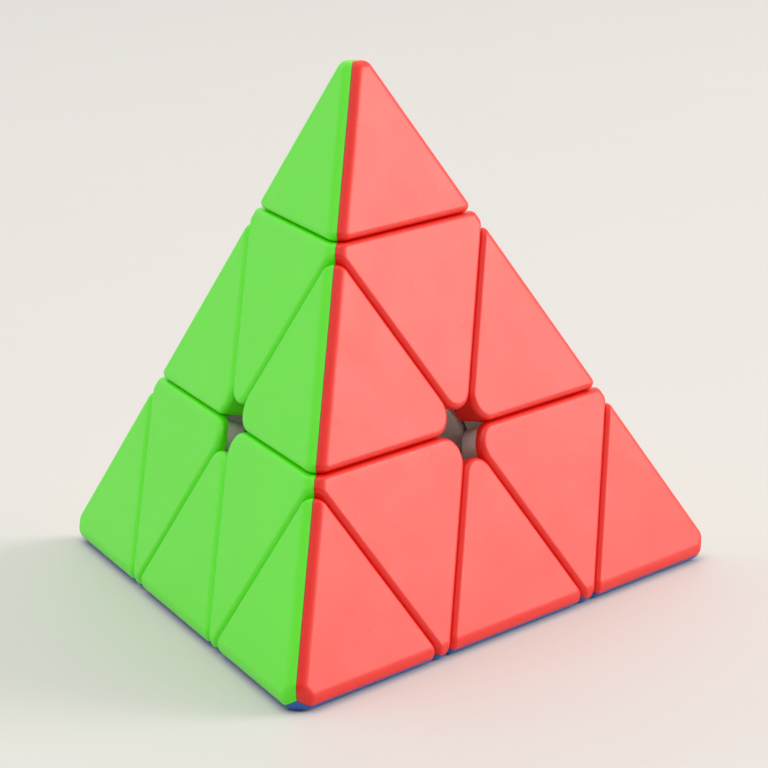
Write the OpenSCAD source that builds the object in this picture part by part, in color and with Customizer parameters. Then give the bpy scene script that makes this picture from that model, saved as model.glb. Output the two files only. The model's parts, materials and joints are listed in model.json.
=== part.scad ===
// Pyramid twisty puzzle: four turning corner layers, four turning tips and six edge pieces round one core.
// The origin is the centre of the core, where the four turning axes meet, and the pyramid stands on its -Z face.
//
// A point is often given by its four heights: height m is how far it lies along arm m from the origin.
// The four heights of a point always add up to zero, and face m, opposite arm m, is at height -inradius.

/* [Pyramid] */
// Edge length of the sharp pyramid, before its corners are rounded
edge_len = 106; // [104:0.5:108]
// Width of the gap between neighbouring pieces
gap = 0.2; // [0.15:0.05:0.4]
// Height of a layer's cut above the origin, as a share of the inradius
layer_share = 0.328; // [0.32:0.002:0.334]
// Height of a tip's cut above the origin, as a share of the inradius
tip_share = 1.658; // [1.646:0.002:1.67]

/* [Coloured shells] */
// Thickness of the coloured shells of axial pieces
shell_t = 1.6; // [1.6:0.1:2]
// Thickness of the coloured shells of tips
tip_shell_t = 2.2; // [2:0.1:2.4]
// Thickness of the coloured shells of edge pieces
edge_shell_t = 4.4; // [4:0.1:4.5]
// Radius of the rounding along the edges of the shells
edge_round = 1.4; // [1.2:0.1:1.5]
// How far an outer corner is blunted beyond its rounding
corner_blunt = 3; // [2.4:0.1:3.4]
// How far an axial piece's corner beside the middle of a face is blunted beyond its rounding
axial_middle_blunt = 1.8; // [1.6:0.1:2]
// How far an edge piece's corner beside the middle of a face is blunted beyond its rounding
edge_middle_blunt = 3.2; // [3:0.1:3.4]

/* [Core and feet] */
// Radius of the ball at the middle of the core
core_r = 8; // [7:0.1:8.2]
// Radius of the ball-shaped space in which the feet of the edge pieces turn
foot_space_r = 17.5; // [17:0.1:18]
// Height of the cut between the feet above the origin
foot_cut = 2; // [1.8:0.1:2.2]
// Clearance between a moving face inside the puzzle and the nominal cut
clearance = 0.2; // [0.15:0.01:0.25]
// How far an inner body's crest stays back from the inner corner of its shells
crest_bevel = 1.4; // [1.2:0.1:1.6]
// How far the point of a tip's inner body stays back from the inner corner of its shells
point_bevel = 3; // [2.6:0.1:3.4]
// Rounding of a layer's inner body beside the middle of a face
axial_middle_r = 3; // [2.8:0.1:3.2]
// Rounding of an edge piece's inner body beside the middle of a face
edge_middle_r = 4.2; // [4:0.1:4.4]

/* [Axles] */
// Radius of a core post, which a layer turns on
post_r = 2.6; // [2.5:0.1:2.8]
// Height of a core post's end above the origin
post_end = 13; // [12.5:0.1:13.5]
// Radial clearance between a post, or a tip's stem, and the bore it turns in
running = 0.08; // [0.05:0.01:0.1]
// Radius of the stalk that carries a layer's bore
stalk_r = 4.5; // [4.3:0.1:4.6]
// Radius of an axle screw's shank
screw_r = 1.25; // [1:0.05:1.4]
// Radius of an axle screw's head
head_r = 2.7; // [2.4:0.1:2.8]
// Height of an axle screw's head
head_h = 1.8; // [1.5:0.1:2]
// Radius of a washer
washer_r = 2.9; // [2.8:0.1:3]
// Thickness of a washer
washer_t = 0.5; // [0.4:0.1:0.8]
// Radius of the spring wire
wire_r = 0.3; // [0.25:0.05:0.35]
// Turns of a spring
spring_turns = 4; // [3:1:5]
// Length of a spring
spring_len = 5.6; // [5:0.1:6]

/* [Tip clips] */
// Radius of a tip's stem
stem_r = 3.3; // [3.2:0.05:3.35]
// How far the bead at the stem's end stands out
bead = 0.35; // [0.25:0.05:0.4]

/* [Hidden] */
ARMS = ["top", "front", "right", "left"];
FACE_COLOURS = ["blue", "yellow", "green", "red"];
FACE_RGB = [[0.12, 0.35, 0.75], [0.98, 0.85, 0.1], [0.4, 0.88, 0.22], [0.95, 0.25, 0.2]];
EDGE_NAMES = ["front_edge", "right_edge", "left_edge", "right_base_edge", "left_base_edge", "back_base_edge"];
EDGE_ARMS = [[0, 1], [0, 2], [0, 3], [1, 2], [1, 3], [2, 3]];
INNER_GREY = [0.55, 0.55, 0.54];

inradius = edge_len * sqrt(6) / 12;
layer_cut = layer_share * inradius;
tip_cut = tip_share * inradius;
// Unit vectors along the four arms: one up and three round the base, 120 degrees apart
lean = sqrt(8) / 3;
n = concat([[0, 0, 1]], [for (az = [-90, 30, 150]) [lean * cos(az), lean * sin(az), -1 / 3]]);

big = 2 * edge_len;
ball_fn = 20;
round_fn = 48;

bore_r = post_r + running;
stalk_start = core_r + 2 * clearance;
web_start = post_end + 2 * clearance;
web_t = 1.5;
cup_start = web_start + web_t;
cup_r = stem_r + running;
spring_start = cup_start + clearance / 2;
washer_start = spring_start + spring_len;
head_start = washer_start + washer_t;
screw_start = core_r / 2;
slot_w = 0.7;
spring_r = head_r - wire_r;
stem_start = head_start + head_h + 2;
stem_wall = 1.1;
bead_start = stem_start + 3;
bead_h = 1.4;
groove_play = 0.2;
pocket_r = 6.2;
pocket_depth = 8.2;
tip_wall = 1.8;

// --- points and half-spaces ---

// The arms, or faces, that are not in the list
function others(list) = [for (m = [0:3]) if (len(search(m, list)) == 0) m];

// The point with the given heights on three arms; the fourth height follows from them
function at(arms, heights) =
    let (rest = others(arms)[0])
    0.75 * (n[arms[0]] * heights[0] + n[arms[1]] * heights[1] + n[arms[2]] * heights[2]
        - n[rest] * (heights[0] + heights[1] + heights[2]));

// The point at distance t from p on the way to q
function towards(p, q, t) = p + t * (q - p) / norm(q - p);

// All of space below height d along the vector v
module below(v, d) {
    rotate([0, acos(v.z / norm(v)), atan2(v.y, v.x)])
        translate([-big, -big, d - 2 * big]) cube(2 * big);
}

// All of space above height d along the vector v
module above(v, d) {
    below(-v, -d);
}

// Places something made about the top arm on arm i: a half turn that swaps the two arms
module on_arm(i) {
    if (i == 0) children();
    else rotate(a = 180, v = n[0] + n[i]) children();
}

// Places something made about the front edge on the edge between two arms
module on_edge(arms) {
    if (arms[0] == 0) rotate(120 * (arms[1] - 1)) children();
    else on_arm(arms[0]) rotate(120 * (others([0, arms[0], arms[1]])[0] - 1)) children();
}

// A cylinder on the top arm between two heights
module rod(r, from, to) {
    translate([0, 0, from]) cylinder(r = r, h = to - from, $fn = round_fn);
}

// --- coloured shells ---

// Corner points of each kind of piece, set in from its surface by the rounding radius
function blunted(corners, t) =
    [for (a = [0:3]) for (b = [0:3]) if (a != b) towards(corners[a], corners[b], t[a])];

function tip_points(i) =
    let (
        f = others([i]),
        face = -inradius + edge_round,
        cut = tip_cut + gap / 2 + edge_round,
        corners = [
            at(f, [face, face, face]),
            at([i, f[0], f[1]], [cut, face, face]),
            at([i, f[1], f[2]], [cut, face, face]),
            at([i, f[0], f[2]], [cut, face, face])
        ]
    )
    blunted(corners, [for (c = corners) corner_blunt]);

function edge_points(arms) =
    let (
        f = others(arms),
        face = -inradius + edge_round,
        cut = layer_cut + gap / 2 + edge_round,
        corners = [
            at([arms[0], f[0], f[1]], [cut, face, face]),
            at([arms[1], f[0], f[1]], [cut, face, face]),
            at([arms[0], arms[1], f[0]], [cut, cut, face]),
            at([arms[0], arms[1], f[1]], [cut, cut, face])
        ],
        // Beside the middle of a face the wall goes straight in
        deep = [for (s = [0, 1]) for (b = [0, 1])
            towards(corners[2 + s], corners[b], edge_middle_blunt) + n[f[s]] * edge_shell_t]
    )
    concat(blunted(corners, [corner_blunt, corner_blunt, edge_middle_blunt, edge_middle_blunt]), deep);

function axial_points(i) =
    let (
        face = -inradius + edge_round,
        top = tip_cut - gap / 2 - edge_round,
        bottom = layer_cut + gap / 2 + edge_round,
        side = layer_cut - gap / 2 - edge_round
    )
    [for (j = others([i])) for (k = others([i, j]))
        let (
            l = others([i, j, k])[0],
            top_side = at([k, i, j], [face, top, side]),
            middle = at([k, i, j], [face, bottom, side]),
            far_middle = at([l, i, j], [face, bottom, side])
        )
        each [
            top_side,
            towards(middle, top_side, axial_middle_blunt),
            towards(middle, far_middle, axial_middle_blunt)
        ]
    ];

// The coloured plate of thickness t on face f of the piece with these corner points, cut off at its other faces
module shell(points, f, faces, t) {
    color(FACE_RGB[f])
    intersection() {
        hull() for (p = points) translate(p) sphere(edge_round, $fn = ball_fn);
        below(n[f], -inradius + t);
        intersection_for (g = [for (g = faces) if (g != f) g]) below(n[f] - n[g], 0);
    }
}

module tip_shell(i, f) shell(tip_points(i), f, others([i]), tip_shell_t);
module axial_shell(i, f) shell(axial_points(i), f, others([i]), shell_t);

module edge_shell(arms, f) {
    color(FACE_RGB[f])
    intersection() {
        shell(edge_points(arms), f, others(arms), edge_shell_t);
        intersection_for (a = arms) above(n[a], layer_cut + gap / 2);
    }
}

// --- inner bodies ---

// What lies under shells of thickness t on the given faces, its crests bevelled
module under_shells(faces, t) {
    crest = -sqrt(3) * (inradius - t);
    intersection() {
        intersection_for (f = faces) above(n[f], -inradius + t);
        intersection_for (a = [1:len(faces) - 1])
            intersection_for (b = [0:a - 1]) above(n[faces[a]] + n[faces[b]], crest + crest_bevel);
    }
}

// What rounding to radius r takes off an inner body's corner beside the middle of face f. The corner lies at
// height h on both of the given arms, and the piece lies on the side of greater height if side is 1, or less if -1
module middle_corner(f, arms, h, side, r) {
    corner = at([f, arms[0], arms[1]], [-inradius, h, h]);
    inside = h + side * lean * r;
    centre = at([f, arms[0], arms[1]], [-inradius, inside, inside]);
    depth = inradius - core_r - 2;
    difference() {
        translate(corner) on_arm(f) rod(sqrt(3) * r, -1, depth);
        translate(centre) on_arm(f) rod(r, -2, depth + 1);
    }
}

// Each is made once, on the top arm or on the front edge, and then put in its place.

// Grey centre of a tip, with the hollow stem that clips into the axial body
module tip_base() {
    f = [1, 2, 3];
    color(INNER_GREY)
    difference() {
        union() {
            intersection() {
                under_shells(f, tip_shell_t);
                below(n[0], 3 * (inradius - tip_shell_t) - point_bevel);
                above(n[0], tip_cut + gap / 2);
            }
            rod(stem_r, stem_start, tip_cut + 1);
            rod(stem_r + bead, bead_start, bead_start + bead_h);
        }
        rod(stem_r - stem_wall, stem_start - 1, tip_cut + 2 * tip_wall);
        // Slots that let the stem's end spring inwards
        for (turn = [0, 90])
            rotate(turn) translate([-edge_len / 2, -slot_w / 2, stem_start - 1])
                cube([edge_len, slot_w, tip_cut - stem_start - 1]);
        intersection() {
            intersection_for (k = f) above(n[k], -inradius + tip_shell_t + tip_wall);
            above(n[0], tip_cut + gap / 2 + tip_wall);
        }
    }
}

// Grey centre of a layer: it turns on the core post, and its cup holds the spring, washer, screw and tip stem
module axial_body() {
    f = [1, 2, 3];
    color(INNER_GREY)
    difference() {
        union() {
            difference() {
                intersection() {
                    under_shells(f, shell_t);
                    above(n[0], layer_cut + gap / 2);
                    below(n[0], tip_cut - gap / 2);
                    intersection_for (k = f) below(n[k], layer_cut - gap / 2);
                }
                rotate(90) sphere(foot_space_r + clearance, $fn = round_fn);
            }
            rod(stalk_r, stalk_start, foot_space_r + 1.5);
        }
        rod(bore_r, stalk_start - 1, web_start);
        rod(screw_r + 2 * clearance, web_start - 1, cup_start + 1);
        rod(cup_r, cup_start, tip_cut + 1);
        rod(stem_r + bead + running, bead_start - groove_play, bead_start + bead_h + groove_play);
        for (k = f) {
            middle_corner(k, others([0, k]), layer_cut - gap / 2, -1, axial_middle_r);
            // Lightening pocket behind the middle of the shell
            shell_mid = at([k, 0, others([0, k])[0]], [-inradius, 11 / 9 * inradius, -inradius / 9]);
            translate(shell_mid) on_arm(k) rod(pocket_r, -1, pocket_depth);
        }
    }
}

// Grey centre of an edge piece: its foot is trapped under the two axial bodies beside it
module edge_foot() {
    f = [2, 3];
    color(INNER_GREY)
    union() {
        intersection() {
            edge_block();
            intersection_for (k = f) below(n[k], foot_cut - clearance);
        }
        difference() {
            edge_block();
            sphere(foot_space_r + clearance, $fn = round_fn);
        }
        difference() {
            intersection() {
                sphere(foot_space_r - clearance, $fn = round_fn);
                above(n[0], foot_cut + clearance);
                above(n[1], foot_cut + clearance);
                intersection_for (k = f) below(n[k], foot_cut - clearance);
            }
            sphere(core_r + clearance, $fn = round_fn);
        }
    }
}

// What an edge piece would be without a foot
module edge_block() {
    f = [2, 3];
    difference() {
        intersection() {
            under_shells(f, edge_shell_t);
            above(n[0], layer_cut + gap / 2);
            above(n[1], layer_cut + gap / 2);
        }
        for (k = f) middle_corner(k, [0, 1], layer_cut + gap / 2, 1, edge_middle_r);
    }
}

// --- core and axle hardware ---

// Ball with four posts, each drilled for an axle screw
module core() {
    color("gainsboro")
    difference() {
        union() {
            sphere(core_r, $fn = round_fn);
            for (i = [0:3]) on_arm(i) rod(post_r, 0, post_end);
        }
        for (i = [0:3]) on_arm(i) rod(screw_r, screw_start, post_end + 1);
    }
}

// Four screws that hold the layers against their springs
module axle_screws() {
    color("silver")
    for (i = [0:3]) on_arm(i)
        difference() {
            union() {
                rod(screw_r, screw_start, head_start + 0.1);
                rod(head_r, head_start, head_start + head_h);
            }
            for (turn = [0, 90])
                rotate(turn) translate([-head_r * 0.7, -slot_w / 2, head_start + head_h / 2])
                    cube([head_r * 1.4, slot_w, head_h]);
        }
}

module washers() {
    color("lightgrey")
    for (i = [0:3]) on_arm(i)
        difference() {
            rod(washer_r, washer_start, head_start);
            rod(screw_r + 0.1, washer_start - 1, head_start + 1);
        }
}

// One coil spring per arm, between the layer's cup and the washer
module springs() {
    color("darkgrey")
    for (i = [0:3]) on_arm(i) coil();
}

// Coil of round wire, swept as one ring of points per step
module coil() {
    steps_per_turn = 12;
    sides = 6;
    steps = spring_turns * steps_per_turn;
    rise = spring_len - 2 * wire_r;
    ring = [for (s = [0:steps]) let (a = 360 * s / steps_per_turn)
        [for (c = [0:sides - 1]) let (b = 360 * c / sides, out = spring_r + wire_r * cos(b))
            [out * cos(a), out * sin(a), spring_start + wire_r + rise * s / steps + wire_r * sin(b)]]];
    points = [for (r = ring) each r];
    walls = [for (s = [0:steps - 1]) for (c = [0:sides - 1])
        let (a = s * sides + c, b = s * sides + (c + 1) % sides) [a, b, b + sides, a + sides]];
    polyhedron(points, concat(
        walls,
        [[for (c = [sides - 1:-1:0]) c]],
        [[for (c = [0:sides - 1]) steps * sides + c]]
    ));
}

// --- nodes ---

core();
axle_screws();
washers();
springs();
for (i = [0:3]) {
    on_arm(i) axial_body();
    on_arm(i) tip_base();
    for (f = others([i])) {
        axial_shell(i, f);
        tip_shell(i, f);
    }
}
for (e = [0:5]) {
    on_edge(EDGE_ARMS[e]) edge_foot();
    for (f = others(EDGE_ARMS[e]))
        edge_shell(EDGE_ARMS[e], f);
}
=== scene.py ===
import json
import math

import bmesh
import bpy
from mathutils import Matrix, Vector


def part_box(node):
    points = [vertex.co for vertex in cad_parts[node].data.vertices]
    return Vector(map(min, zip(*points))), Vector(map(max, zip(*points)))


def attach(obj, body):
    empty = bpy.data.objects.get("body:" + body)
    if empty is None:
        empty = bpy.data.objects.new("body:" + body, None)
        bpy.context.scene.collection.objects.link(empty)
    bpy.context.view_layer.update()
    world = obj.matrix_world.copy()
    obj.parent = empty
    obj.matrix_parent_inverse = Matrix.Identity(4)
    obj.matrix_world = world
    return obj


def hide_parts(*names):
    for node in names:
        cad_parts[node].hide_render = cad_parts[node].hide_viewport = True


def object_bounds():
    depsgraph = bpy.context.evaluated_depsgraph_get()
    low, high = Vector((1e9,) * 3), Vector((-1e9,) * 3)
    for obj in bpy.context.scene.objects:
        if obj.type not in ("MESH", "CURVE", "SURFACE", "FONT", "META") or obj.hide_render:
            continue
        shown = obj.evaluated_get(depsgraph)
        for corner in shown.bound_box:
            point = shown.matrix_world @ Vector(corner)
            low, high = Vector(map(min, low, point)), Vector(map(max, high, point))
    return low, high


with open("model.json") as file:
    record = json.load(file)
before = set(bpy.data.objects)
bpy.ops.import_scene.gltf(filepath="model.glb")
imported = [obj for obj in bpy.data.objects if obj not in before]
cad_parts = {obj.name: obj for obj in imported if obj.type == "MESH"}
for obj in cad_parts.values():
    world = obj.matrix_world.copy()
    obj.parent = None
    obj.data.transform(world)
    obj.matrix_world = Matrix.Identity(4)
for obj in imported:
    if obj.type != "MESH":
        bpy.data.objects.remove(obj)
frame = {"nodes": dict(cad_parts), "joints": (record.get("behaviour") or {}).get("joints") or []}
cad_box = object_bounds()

MM = 0.001  # lengths are in millimetres, and in metres for the floor, the lights and the camera

# --- the pyramid's planes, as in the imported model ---

ARMS = ["top", "front", "right", "left"]
FACE_COLOURS = {"top": "blue", "front": "yellow", "right": "green", "left": "red"}
EDGES = {
    "front_edge": ("top", "front"),
    "right_edge": ("top", "right"),
    "left_edge": ("top", "left"),
    "right_base_edge": ("front", "right"),
    "left_base_edge": ("front", "left"),
    "back_base_edge": ("right", "left"),
}

AXES = {joint["name"]: Vector(joint["axis"]).normalized() for joint in frame["joints"]}
ARM = {arm: AXES[f"{arm}_layer_turn"] for arm in ARMS}
INRADIUS = -cad_box[0].z / MM
TIP_GAP_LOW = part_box("top_axial_body")[1].z / MM  # where the gap under a tip begins, along the arm
CAD_GAP = 0.2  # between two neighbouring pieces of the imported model
TIP_CUT = TIP_GAP_LOW + CAD_GAP / 2  # height of the cut between a tip and its layer, along the arm
LAYER_SHARE = 0.328  # of the way from the core to a face
LAYER_CUT = LAYER_SHARE * INRADIUS  # height of the cut under a layer

# --- the coloured shells ---

AXIAL_SHELL_DEPTH = 1.6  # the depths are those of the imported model
TIP_SHELL_DEPTH = 2.2
EDGE_SHELL_DEPTH = 4.4
EDGE_WALL_EXTRA = 1.0  # how far an edge shell's wall goes on below its depth before it is cut there
TILE_GAP = 0.11  # between two neighbouring shells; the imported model's gap is wider, to let the bodies turn
CUT_ROUND = 0.93  # radius of the rounding along a gap
CREST_ROUND = 2.17  # radius of the rounding along a crest of the pyramid
APEX_ROUND = 1.7  # radius of the rounding round the blunt end of a tip
APEX_LOSS = 5.5  # how far the blunt end of a tip lies below the sharp pyramid's corner
SEAM = 0.03  # how far a shell stays back from the middle of a crest
TRIM = 0.003  # how far a trimmed wall stands back from its plane, so that no two faces coincide
MIDDLE_CORNER = 2.5  # radius of a flat's corner beside the middle of a face, seen square to the face
ARC_STEPS = 10  # steps round a corner of a tile
ROUND_STEPS = 9  # steps of a rounding, from the flat to the wall
MERGE_DISTANCE = 0.002  # points nearer to each other than this become one
PLANE_TOLERANCE = 1e-5  # points nearer to a cutting plane than this lie in it
SHARP_ANGLE = math.radians(32)  # edges sharper than this stay sharp in the shading
FLAT_ANGLE = math.radians(0.4)  # faces that meet at less than this become one


def others(*arms):
    return [arm for arm in ARMS if arm not in arms]


class Cut:
    """The plane of a gap beside a piece: its normal points out of the piece."""

    def __init__(self, normal, distance, radius=CUT_ROUND):
        self.normal = normal
        self.distance = distance
        self.radius = radius  # of the rounding along the gap


def above_cut(arm, height):
    return Cut(-ARM[arm], -(height + TILE_GAP / 2))


def below_cut(arm, height):
    return Cut(ARM[arm], height - TILE_GAP / 2)


def meeting_point(normals, distances):
    """The point that lies at the three distances along the three normals."""
    return Matrix(normals).inverted() @ Vector(distances)


def ball_points(centre, radius, start, end):
    """Points on a ball, on the way from one direction to another."""
    return [centre + start.slerp(end, step / ROUND_STEPS) * radius for step in range(ROUND_STEPS + 1)]


def crest_end(face, other, cut):
    """Where the crest between two faces ends at a cut: the cut's rounding goes round the crest's own."""
    out, beyond = -ARM[face], -ARM[other]
    points = []
    inset = CREST_ROUND - cut.radius
    for step in range(ARC_STEPS + 1):
        across = out.slerp(beyond, step / ARC_STEPS / 2)  # from the flat to the middle of the crest
        centre = meeting_point(
            (out, beyond, cut.normal),
            (
                INRADIUS - CREST_ROUND + inset * across.dot(out),
                INRADIUS - CREST_ROUND + inset * across.dot(beyond),
                cut.distance - cut.radius,
            ),
        )
        points += ball_points(centre, cut.radius, across, cut.normal)
    return points


def middle_corner(face, first, second):
    """A tile's corner beside the middle of its face, where the wall goes straight in."""
    out = -ARM[face]
    along = []
    for cut in (first, second):
        across = (cut.normal - out * out.dot(cut.normal)).normalized()
        bend = out.angle(cut.normal)
        reach = (cut.distance - INRADIUS * math.cos(bend)) / math.sin(bend) - CUT_ROUND * math.tan(bend / 2)
        along.append((across, reach - MIDDLE_CORNER))
    (across_1, reach_1), (across_2, reach_2) = along
    middle = meeting_point((out, across_1, across_2), (INRADIUS - CUT_ROUND, reach_1, reach_2))
    points = []
    for step in range(ARC_STEPS + 1):
        part = step / ARC_STEPS
        across = across_1.slerp(across_2, part)
        wall = {0: first.normal, 1: second.normal}.get(part, across)  # the first and last lie in a gap
        points += ball_points(middle + across * MIDDLE_CORNER, CUT_ROUND, out, wall)
    return points


def tip_tile(arm, face):
    apex = Cut(ARM[arm], 3 * INRADIUS - APEX_LOSS, APEX_ROUND)
    cut = above_cut(arm, TIP_CUT)
    points = []
    for other in others(arm, face):
        points += crest_end(face, other, apex) + crest_end(face, other, cut)
    return points


def edge_tile(arms, face):
    other = others(*arms, face)[0]
    cuts = [above_cut(arm, LAYER_CUT) for arm in arms]
    points = middle_corner(face, *cuts)
    points += [point + ARM[face] * (EDGE_SHELL_DEPTH + EDGE_WALL_EXTRA) for point in points]
    for cut in cuts:
        points += crest_end(face, other, cut)
    return points


def axial_tile(arm, face):
    first, second = others(arm, face)
    top = below_cut(arm, TIP_CUT)
    first_cut, second_cut = [below_cut(other, LAYER_CUT) for other in (first, second)]
    points = middle_corner(face, first_cut, second_cut)
    for other, cut in ((second, first_cut), (first, second_cut)):
        points += crest_end(face, other, top) + crest_end(face, other, cut)
    return points


def solid_hull(points):
    """The convex solid round the points, its flats as single faces."""
    mesh = bmesh.new()
    for point in points:
        mesh.verts.new(point)
    hull = bmesh.ops.convex_hull(mesh, input=mesh.verts)
    inner = [item for item in hull["geom_interior"] if isinstance(item, bmesh.types.BMVert)]
    bmesh.ops.delete(mesh, geom=inner, context="VERTS")
    bmesh.ops.remove_doubles(mesh, verts=mesh.verts, dist=MERGE_DISTANCE)
    bmesh.ops.dissolve_limit(mesh, angle_limit=FLAT_ANGLE, verts=mesh.verts, edges=mesh.edges)
    return mesh


def keep_below(mesh, normal, distance):
    """Cuts off what lies beyond the plane and closes the cut."""
    geometry = mesh.verts[:] + mesh.edges[:] + mesh.faces[:]
    cut = bmesh.ops.bisect_plane(
        mesh,
        geom=geometry,
        plane_co=normal * distance,
        plane_no=normal,
        dist=PLANE_TOLERANCE,
        clear_outer=True,
    )
    rim = [item for item in cut["geom_cut"] if isinstance(item, bmesh.types.BMEdge)]
    bmesh.ops.contextual_create(mesh, geom=rim)


def add_object(name, mesh, material, body):
    """Makes the mesh, given in millimetres, a smooth-shaded piece that rides on the body."""
    for edge in mesh.edges:
        edge.smooth = edge.calc_face_angle(0) < SHARP_ANGLE
    for face in mesh.faces:
        face.smooth = True
    bmesh.ops.recalc_face_normals(mesh, faces=mesh.faces)
    bmesh.ops.scale(mesh, vec=(MM, MM, MM), verts=mesh.verts)
    data = bpy.data.meshes.new(name)
    mesh.to_mesh(data)
    mesh.free()
    data.materials.append(material)
    piece = bpy.data.objects.new(name, data)
    bpy.context.scene.collection.objects.link(piece)
    weighted = piece.modifiers.new("flat_faces_stay_flat", "WEIGHTED_NORMAL")
    weighted.keep_sharp = True
    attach(piece, body)
    return piece


def shells(body, faces, depth, tile, trims=()):
    """The coloured shells of one body, one for each of its faces.

    The trims are planes that the walls don't pass, each a normal and a distance.
    """
    hull = solid_hull([point for face in faces for point in tile(face)])
    for normal, distance in trims:
        keep_below(hull, normal, distance - TRIM)
    for face in faces:
        colour = FACE_COLOURS[face]
        node = f"{body}_{colour}"
        mesh = hull.copy()
        keep_below(mesh, ARM[face], depth - INRADIUS)
        for other in faces:
            if other != face:
                apart = (ARM[face] - ARM[other]).normalized()
                keep_below(mesh, apart, -SEAM)
        piece = add_object(f"{node}_shell", mesh, PLASTICS[colour], body)
        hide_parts(node)
    hull.free()


# --- materials ---


def map_range(tree, value, low, high, start, end):
    """The value between low and high, remapped to between start and end."""
    node = tree.nodes.new("ShaderNodeMapRange")
    tree.links.new(value, node.inputs["Value"])
    ranges = {"From Min": low, "From Max": high, "To Min": start, "To Max": end}
    for name, number in ranges.items():
        node.inputs[name].default_value = number
    return node.outputs["Result"]


class Material:
    """A node material: every pattern is made from the object's own coordinates, in metres."""

    def __init__(self, name):
        self.material = bpy.data.materials.new(name)
        self.material.use_nodes = True
        self.nodes = self.material.node_tree.nodes
        self.links = self.material.node_tree.links
        self.shader = self.nodes["Principled BSDF"]
        self.place = self.nodes.new("ShaderNodeTexCoord").outputs["Object"]

    def noise(self, size, detail=2.0, stretch=(1, 1, 1)):
        """A noise pattern whose features are about this many millimetres across."""
        mapping = self.nodes.new("ShaderNodeMapping")
        mapping.inputs["Scale"].default_value = stretch
        self.links.new(self.place, mapping.inputs["Vector"])
        noise = self.nodes.new("ShaderNodeTexNoise")
        noise.inputs["Scale"].default_value = 1 / (size * MM)
        noise.inputs["Detail"].default_value = detail
        self.links.new(mapping.outputs["Vector"], noise.inputs["Vector"])
        return noise.outputs["Fac"]

    def ramp(self, value, low, high, start, end):
        return map_range(self.material.node_tree, value, low, high, start, end)

    def blend(self, share, first, second):
        """Colour between the first, where share is 0, and the second, where it is 1."""
        mix = self.nodes.new("ShaderNodeMix")
        mix.data_type = "RGBA"
        self.links.new(share, mix.inputs["Factor"])
        for socket, colour in ((mix.inputs[6], first), (mix.inputs[7], second)):
            if isinstance(colour, tuple):
                socket.default_value = (*colour, 1)
            else:
                self.links.new(colour, socket)
        return mix.outputs[2]

    def colour(self, value):
        self.links.new(value, self.shader.inputs["Base Color"])

    def roughness(self, value):
        self.links.new(value, self.shader.inputs["Roughness"])

    def bump(self, height, depth, strength=1.0):
        """Raises the surface by up to depth millimetres, over any bump that is already there."""
        bump = self.nodes.new("ShaderNodeBump")
        bump.inputs["Strength"].default_value = strength
        bump.inputs["Distance"].default_value = depth * MM
        self.links.new(height, bump.inputs["Height"])
        normal = self.shader.inputs["Normal"]
        if normal.is_linked:
            self.links.new(normal.links[0].from_socket, bump.inputs["Normal"])
        self.links.new(bump.outputs["Normal"], normal)

    def set(self, **values):
        for name, value in values.items():
            self.shader.inputs[name.replace("_", " ")].default_value = value


def shell_plastic(name, light, deep):
    """Satin moulded plastic: a fine grain, slow sink marks, faint handling marks and a few nicks."""
    plastic = Material(name)
    cloud = plastic.ramp(plastic.noise(22, 1), 0.3, 0.7, 0, 1)
    tint = plastic.blend(cloud, light, deep)
    specks = plastic.ramp(plastic.noise(0.55, 1), 0.74, 0.80, 0, 0.35)
    pale = tuple(min(1, channel * 0.8 + 0.2) for channel in light)
    plastic.colour(plastic.blend(specks, tint, pale))
    plastic.roughness(plastic.ramp(plastic.noise(7, 2), 0.3, 0.7, 0.36, 0.40))
    plastic.bump(plastic.noise(9, 1), 0.10)
    plastic.bump(plastic.noise(0.35, 2), 0.004)
    plastic.set(IOR=1.55, Subsurface_Weight=0.3, Subsurface_Scale=0.8 * MM)
    return plastic.material


def inner_plastic():
    plastic = Material("inner_plastic")
    cloud = plastic.ramp(plastic.noise(6, 3), 0.35, 0.65, 0, 1)
    plastic.colour(plastic.blend(cloud, (0.60, 0.57, 0.54), (0.54, 0.51, 0.48)))
    plastic.roughness(plastic.ramp(plastic.noise(2, 3), 0.3, 0.7, 0.48, 0.62))
    plastic.bump(plastic.noise(0.3, 3), 0.02)
    return plastic.material


def core_plastic():
    plastic = Material("core_plastic")
    cloud = plastic.ramp(plastic.noise(5, 3), 0.35, 0.65, 0, 1)
    plastic.colour(plastic.blend(cloud, (0.74, 0.73, 0.69), (0.66, 0.65, 0.61)))
    plastic.roughness(plastic.ramp(plastic.noise(2, 3), 0.3, 0.7, 0.34, 0.46))
    plastic.bump(plastic.noise(0.5, 3), 0.01)
    plastic.set(Subsurface_Weight=0.15, Subsurface_Scale=2 * MM)
    return plastic.material


def steel(name, tone, rough, stretch):
    """Drawn or turned steel, with fine lines drawn out along one direction."""
    metal = Material(name)
    lines = metal.noise(0.4, 4, stretch)
    dark = tuple(channel * 0.82 for channel in tone)
    metal.colour(metal.blend(metal.ramp(lines, 0.35, 0.65, 0, 1), tone, dark))
    metal.roughness(metal.ramp(lines, 0.3, 0.7, rough, rough + 0.14))
    metal.bump(lines, 0.006)
    metal.set(Metallic=1.0)
    return metal.material


PLASTICS = {
    "green": shell_plastic("green_plastic", (0.115, 0.90, 0.004), (0.109, 0.88, 0.003)),
    "red": shell_plastic("red_plastic", (0.86, 0.014, 0.006), (0.84, 0.012, 0.004)),
    "yellow": shell_plastic("yellow_plastic", (0.90, 0.62, 0.015), (0.86, 0.58, 0.010)),
    "blue": shell_plastic("blue_plastic", (0.025, 0.13, 0.52), (0.018, 0.11, 0.47)),
}
INNER = inner_plastic()
CORE = core_plastic()
SCREW = steel("screw_steel", (0.62, 0.62, 0.61), 0.24, (1, 1, 6))
WASHER = steel("washer_steel", (0.68, 0.68, 0.67), 0.20, (1, 6, 1))
SPRING = steel("spring_steel", (0.46, 0.46, 0.47), 0.28, (1, 1, 4))


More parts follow.
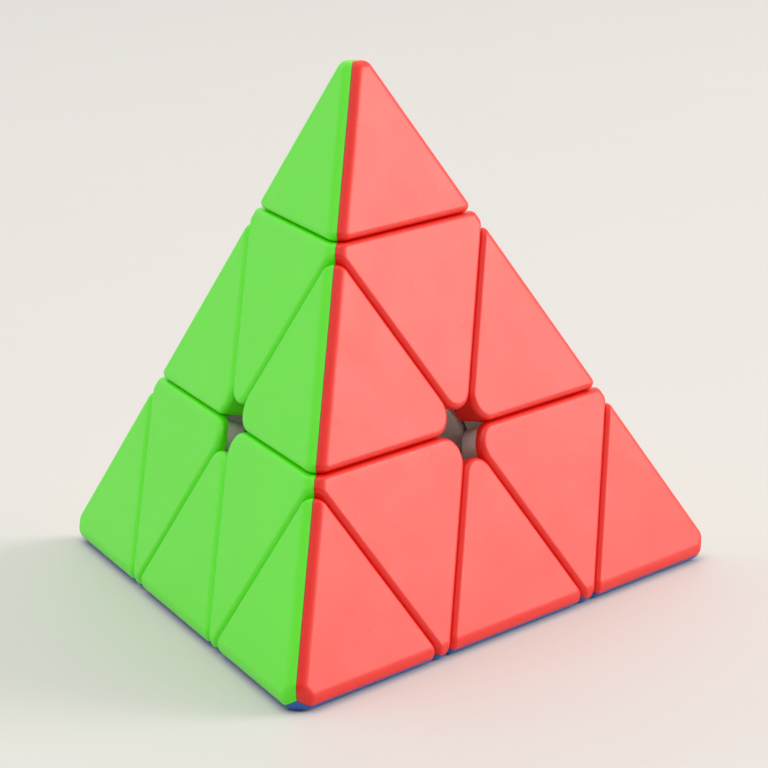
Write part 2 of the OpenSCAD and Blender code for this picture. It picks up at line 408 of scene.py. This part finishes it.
def finish_cad_node(node, material):
    node.data.materials.clear()
    node.data.materials.append(material)


# --- floor, lights and camera, in metres ---

FLOOR_RADIUS = 3.0
FLOOR_TONE = (0.745, 0.722, 0.702)


def floor():
    """A wide pale disc that the puzzle stands on."""
    mesh = bmesh.new()
    bmesh.ops.create_circle(mesh, cap_ends=True, segments=96, radius=FLOOR_RADIUS)
    data = bpy.data.meshes.new("floor")
    mesh.to_mesh(data)
    mesh.free()
    board = Material("floor")
    cloud = board.ramp(board.noise(250, 2), 0.35, 0.65, 0, 1)
    board.colour(board.blend(cloud, FLOOR_TONE, tuple(channel * 0.985 for channel in FLOOR_TONE)))
    board.roughness(board.ramp(board.noise(30, 2), 0.3, 0.7, 0.55, 0.65))
    data.materials.append(board.material)
    plane = bpy.data.objects.new("floor", data)
    plane.location.z = cad_box[0].z
    bpy.context.scene.collection.objects.link(plane)


RIGHT_LIGHT = (0.87, 0.28, 0.38)  # directions from the puzzle
TOP_LIGHT = (-0.2, -0.2, 1.0)
LIGHT_DISTANCE = 1.6
WARM = (1.0, 0.965, 0.86)


def softbox(name, direction, distance, width, height, radiance, tint=(1, 1, 1)):
    """A soft panel that faces the puzzle; radiance 1 is the brightness of white paper in the picture."""
    light = bpy.data.lights.new(name, "AREA")
    light.shape = "RECTANGLE"
    light.size = width
    light.size_y = height
    light.energy = radiance * math.pi * width * height
    light.color = tint
    lamp = bpy.data.objects.new(name, light)
    towards = Vector(direction).normalized()
    lamp.location = towards * distance
    lamp.rotation_mode = "QUATERNION"
    lamp.rotation_quaternion = towards.to_track_quat("Z", "Y")
    bpy.context.scene.collection.objects.link(lamp)


ROOM_TINT = (1.0, 0.985, 0.965)
ROOM_STRENGTH = 0.84
FRONT_STRENGTH = 0.26  # of the room straight in front, which is darker
FRONT = Vector((0.15, -0.96, 0.23)).normalized()
FRONT_FADE = (0.55, 0.95)  # from the room's own strength to the front's, as cosines of the angle to FRONT


def daylight():
    """An even pale room, darker on the side that the puzzle's front corner points at."""
    world = bpy.data.worlds.new("room")
    world.use_nodes = True
    nodes, links = world.node_tree.nodes, world.node_tree.links
    direction = nodes.new("ShaderNodeTexCoord")
    towards_front = nodes.new("ShaderNodeVectorMath")
    towards_front.operation = "DOT_PRODUCT"
    towards_front.inputs[1].default_value = FRONT
    links.new(direction.outputs["Generated"], towards_front.inputs[0])
    share = towards_front.outputs["Value"]
    strength = map_range(world.node_tree, share, *FRONT_FADE, ROOM_STRENGTH, FRONT_STRENGTH)
    background = nodes["Background"]
    background.inputs["Color"].default_value = (*ROOM_TINT, 1)
    links.new(strength, background.inputs["Strength"])
    bpy.context.scene.world = world


CAMERA_PLACE = Vector((0.08416, -0.52798, 0.13621))
CAMERA_AIM = Vector((0.00346, 0.00262, 0.01070))
CAMERA_ROLL = math.radians(0.58)
CAMERA_LENS = 174.0  # on a 36 mm wide sensor


def camera():
    data = bpy.data.cameras.new("camera")
    data.lens = CAMERA_LENS
    data.clip_start = 0.01
    data.clip_end = 20
    eye = bpy.data.objects.new("camera", data)
    eye.location = CAMERA_PLACE
    eye.rotation_mode = "QUATERNION"
    level = (CAMERA_AIM - CAMERA_PLACE).to_track_quat("-Z", "Y")
    eye.rotation_quaternion = level @ Matrix.Rotation(-CAMERA_ROLL, 3, "Z").to_quaternion()
    bpy.context.scene.collection.objects.link(eye)
    bpy.context.scene.camera = eye


# --- the whole puzzle ---

for arm in ARMS:
    faces = others(arm)
    shells(f"{arm}_tip", faces, TIP_SHELL_DEPTH, lambda face: tip_tile(arm, face))
    shells(f"{arm}_axial", faces, AXIAL_SHELL_DEPTH, lambda face: axial_tile(arm, face))
    finish_cad_node(frame["nodes"][f"{arm}_tip_base"], INNER)
    finish_cad_node(frame["nodes"][f"{arm}_axial_body"], INNER)
for edge, arms in EDGES.items():
    walls = [(-ARM[arm], -(LAYER_CUT + TILE_GAP / 2)) for arm in arms]
    shells(edge, others(*arms), EDGE_SHELL_DEPTH, lambda face: edge_tile(arms, face), walls)
    finish_cad_node(frame["nodes"][f"{edge}_foot"], INNER)
for node, material in (("core", CORE), ("axle_screws", SCREW), ("washers", WASHER), ("springs", SPRING)):
    finish_cad_node(frame["nodes"][node], material)

floor()
daylight()
softbox("right_softbox", RIGHT_LIGHT, LIGHT_DISTANCE, width=0.89, height=0.89, radiance=5.5, tint=WARM)
softbox("top_softbox", TOP_LIGHT, LIGHT_DISTANCE, width=1.6, height=1.6, radiance=0.85)
camera()

scene = bpy.context.scene
scene.view_settings.view_transform = "Standard"
scene.view_settings.look = "None"
